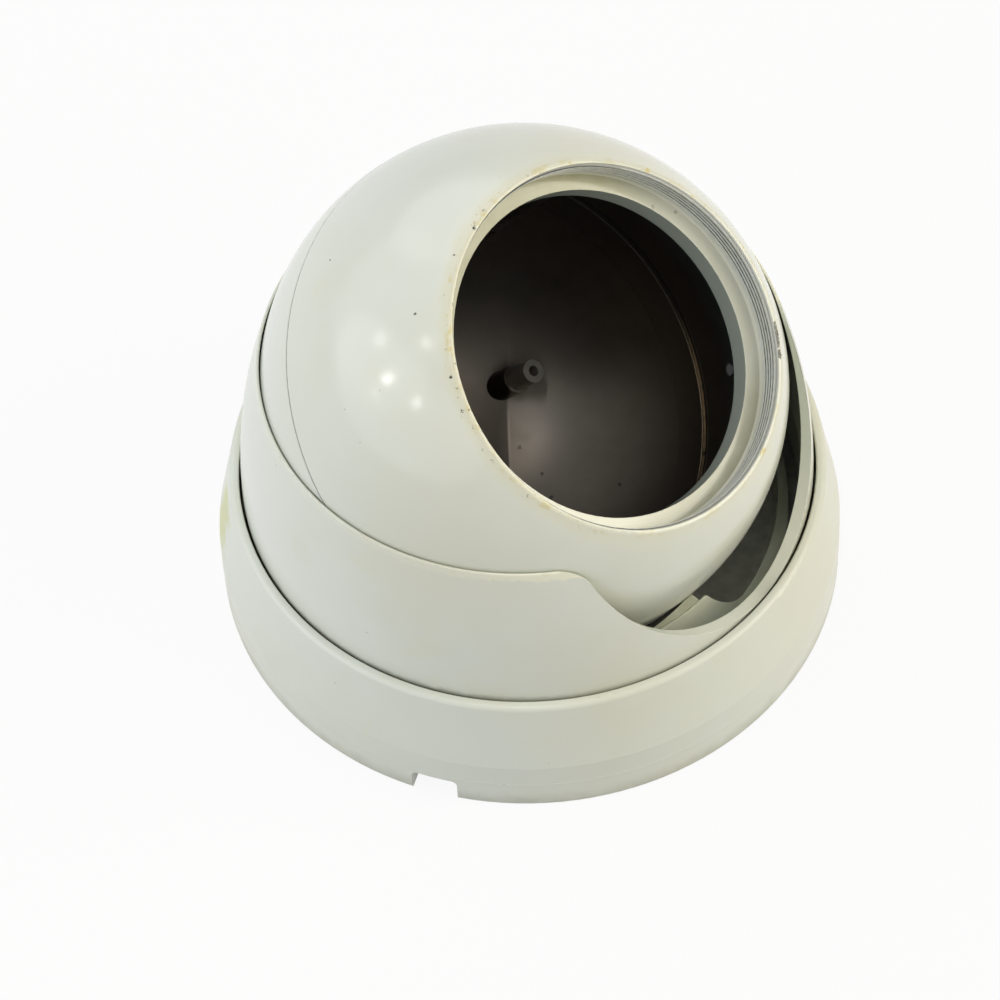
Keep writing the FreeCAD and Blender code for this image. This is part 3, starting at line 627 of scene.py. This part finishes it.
def plain_look(name, colour, roughness, metal=0.0):
    """One colour with darker patches, a painted highlight on the edges and uneven gloss."""
    look = Look(name, round_edge=0.2 * mm)
    # Darker patches, a painted highlight on the edges and uneven gloss.
    darker, edge_highlight_gain, uneven = 0.78, 1.2, 0.08
    shade = tuple(part * darker for part in colour[:3]) + (1.0,)
    pale = tuple(min(1.0, part * edge_highlight_gain) for part in colour[:3]) + (1.0,)
    tone = look.over(colour, shade, look.patches(4 * mm, 0.3, 0.7))
    tone = look.over(tone, pale, look.edges(), 0.5)
    gloss = look.level(look.noise(3 * mm, detail=3), roughness - uneven, roughness + uneven)
    look.shader.inputs["Metallic"].default_value = metal
    return look.finish(tone, gloss, look.noise(0.8 * mm, detail=3), plastic_relief)


def dress(material, *names):
    """Gives a material to all slots of some nodes."""
    for name in names:
        for material_slot in nodes[name].material_slots:
            material_slot.material = material


def make_thread():
    """Helical ridges on the opening's wall, from just under the rim."""
    count = round((thread_high - thread_low) / thread_pitch * thread_steps)
    sunk = thread_radius + thread_sunk
    shape = bmesh.new()
    rows = []
    for i in range(count + 1):
        angle = thread_start - 2 * math.pi * i / thread_steps
        taper = min(1.0, i / thread_rise, (count - i) / thread_fall)
        height = thread_high - thread_pitch / 2 - thread_pitch * i / thread_steps
        out = mouth_side * math.cos(angle) + mouth_up * math.sin(angle)
        crest = thread_radius - thread_ridge * taper
        profile = [
            (sunk, height + thread_pitch / 2),
            (crest, height + thread_crest / 2),
            (crest, height - thread_crest / 2),
            (sunk, height - thread_pitch / 2),
        ]
        rows.append([shape.verts.new(ball_centre + out * r + mouth_axis * z) for r, z in profile])
    for before, after in zip(rows, rows[1:]):
        for k in range(4):
            shape.faces.new((before[k], before[(k + 1) % 4], after[(k + 1) % 4], after[k]))
    shape.faces.new(rows[0][::-1])
    shape.faces.new(rows[-1])
    bmesh.ops.recalc_face_normals(shape, faces=shape.faces)
    mesh = bpy.data.meshes.new("opening_thread")
    shape.to_mesh(mesh)
    shape.free()
    piece = bpy.data.objects.new("opening_thread", mesh)
    bpy.context.scene.collection.objects.link(piece)
    mesh.materials.append(thread_look())
    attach(piece, "ball")


def background_rays(tree):
    """1 for rays that show the background: to the camera, in gloss and through glass."""
    path = tree.nodes.new("ShaderNodeLightPath")
    found = path.outputs["Is Camera Ray"]
    for kind in ("Is Glossy Ray", "Is Transmission Ray"):
        largest = tree.nodes.new("ShaderNodeMath")
        largest.operation = "MAXIMUM"
        tree.links.new(found, largest.inputs[0])
        tree.links.new(path.outputs[kind], largest.inputs[1])
        found = largest.outputs[0]
    return found


def make_stage():
    """Pale floor that is white as a background and keeps the object's shadow."""
    mesh = bpy.data.meshes.new("floor")
    corners = [(-floor_half, -floor_half, floor_height), (floor_half, -floor_half, floor_height),
               (floor_half, floor_half, floor_height), (-floor_half, floor_half, floor_height)]
    mesh.from_pydata(corners, [], [(0, 1, 2, 3)])
    floor = bpy.data.objects.new("floor", mesh)
    bpy.context.scene.collection.objects.link(floor)

    material = bpy.data.materials.new("floor_white")
    material.use_nodes = True
    tree = material.node_tree
    tree.nodes.clear()
    output = tree.nodes.new("ShaderNodeOutputMaterial")
    mix = tree.nodes.new("ShaderNodeMixShader")
    matt = tree.nodes.new("ShaderNodeBsdfDiffuse")
    matt.inputs["Color"].default_value = floor_grey
    white = tree.nodes.new("ShaderNodeEmission")
    white.inputs["Strength"].default_value = floor_white
    place = tree.nodes.new("ShaderNodeNewGeometry")
    away = tree.nodes.new("ShaderNodeVectorMath")
    away.operation = "LENGTH"
    beside = tree.nodes.new("ShaderNodeMapRange")
    beside.inputs["From Min"].default_value = white_starts
    beside.inputs["From Max"].default_value = white_full
    beside.inputs["To Max"].default_value = floor_share
    share = tree.nodes.new("ShaderNodeMath")
    share.operation = "MULTIPLY"
    for found, socket in (
            (place.outputs["Position"], away.inputs[0]),
            (away.outputs["Value"], beside.inputs["Value"]),
            (background_rays(tree), share.inputs[0]),
            (beside.outputs["Result"], share.inputs[1]),
            (share.outputs[0], mix.inputs[0]),
            (matt.outputs[0], mix.inputs[1]),
            (white.outputs[0], mix.inputs[2]),
            (mix.outputs[0], output.inputs["Surface"])):
        tree.links.new(found, socket)
    mesh.materials.append(material)


def make_world():
    """Even soft light, white as a background."""
    world = bpy.data.worlds.new("studio")
    bpy.context.scene.world = world
    world.use_nodes = True
    tree = world.node_tree
    tree.nodes.clear()
    output = tree.nodes.new("ShaderNodeOutputWorld")
    background = tree.nodes.new("ShaderNodeBackground")
    level = tree.nodes.new("ShaderNodeMapRange")
    level.inputs["To Min"].default_value = world_light
    level.inputs["To Max"].default_value = world_white
    tree.links.new(background_rays(tree), level.inputs["Value"])
    tree.links.new(level.outputs["Result"], background.inputs["Strength"])
    tree.links.new(background.outputs[0], output.inputs["Surface"])


def make_lamp(name, azimuth, elevation, distance, width, height, power, colour, turn):
    """An oval soft lamp that looks at the ball; azimuth from the front, towards +X."""
    a = math.radians(azimuth)
    e = math.radians(elevation)
    light = bpy.data.lights.new(name, "AREA")
    light.shape = "ELLIPSE"
    light.size = width
    light.size_y = height
    light.energy = power
    light.color = colour
    lamp = bpy.data.objects.new(name, light)
    direction = Vector((math.cos(e) * math.sin(a), -math.cos(e) * math.cos(a), math.sin(e)))
    facing = direction.to_track_quat("Z", "Y").to_matrix() @ Matrix.Rotation(turn, 3, "Z")
    lamp.matrix_world = Matrix.Translation(ball_centre + direction * distance) @ facing.to_4x4()
    bpy.context.scene.collection.objects.link(lamp)


def make_camera():
    """The camera that sees what the photograph shows."""
    data = bpy.data.cameras.new("camera")
    data.lens = camera_lens
    data.sensor_width = camera_film
    data.clip_start = camera_near
    camera = bpy.data.objects.new("camera", data)
    bpy.context.scene.collection.objects.link(camera)
    right = camera_right.normalized()
    up = (camera_up - right * camera_up.dot(right)).normalized()
    turn = Matrix((right, up, right.cross(up))).transposed()
    camera.matrix_world = Matrix.Translation(camera_place) @ turn.to_4x4()
    bpy.context.scene.camera = camera


dress(base_look(), "base_ring")
dress(collar_look(), "collar")
dress(ball_look(), "ball_front_shell", "ball_rear_shell")
dress(plain_look("plate_paint", linear(240, 240, 236), 0.4), "mounting_plate")
dress(seat_look(), "seat_ring")
dress(gasket_look(), "seam_gasket")
dress(pad_look(), "seat_pad_1", "seat_pad_2", "seat_pad_3")
dress(plain_look("pale_plastic", linear(214, 213, 194), 0.45), "glide_ring")
dress(plain_look("black_rubber", linear(32, 32, 32), 0.7), "cable_grommet")
dress(plain_look("dark_steel", linear(150, 145, 134), 0.4, metal=0.3), "bracket_standoffs")
dress(plain_look("screw_steel", linear(150, 150, 146), 0.35, metal=0.9), "seat_screws",
      "shell_screws", "ring_lock_screw", "ball_lock_screw", "pan_stop_pin")
make_thread()
make_stage()
make_world()
for lamp in lamps:
    make_lamp(*lamp)
make_camera()
bpy.context.scene.view_settings.view_transform = "Standard"
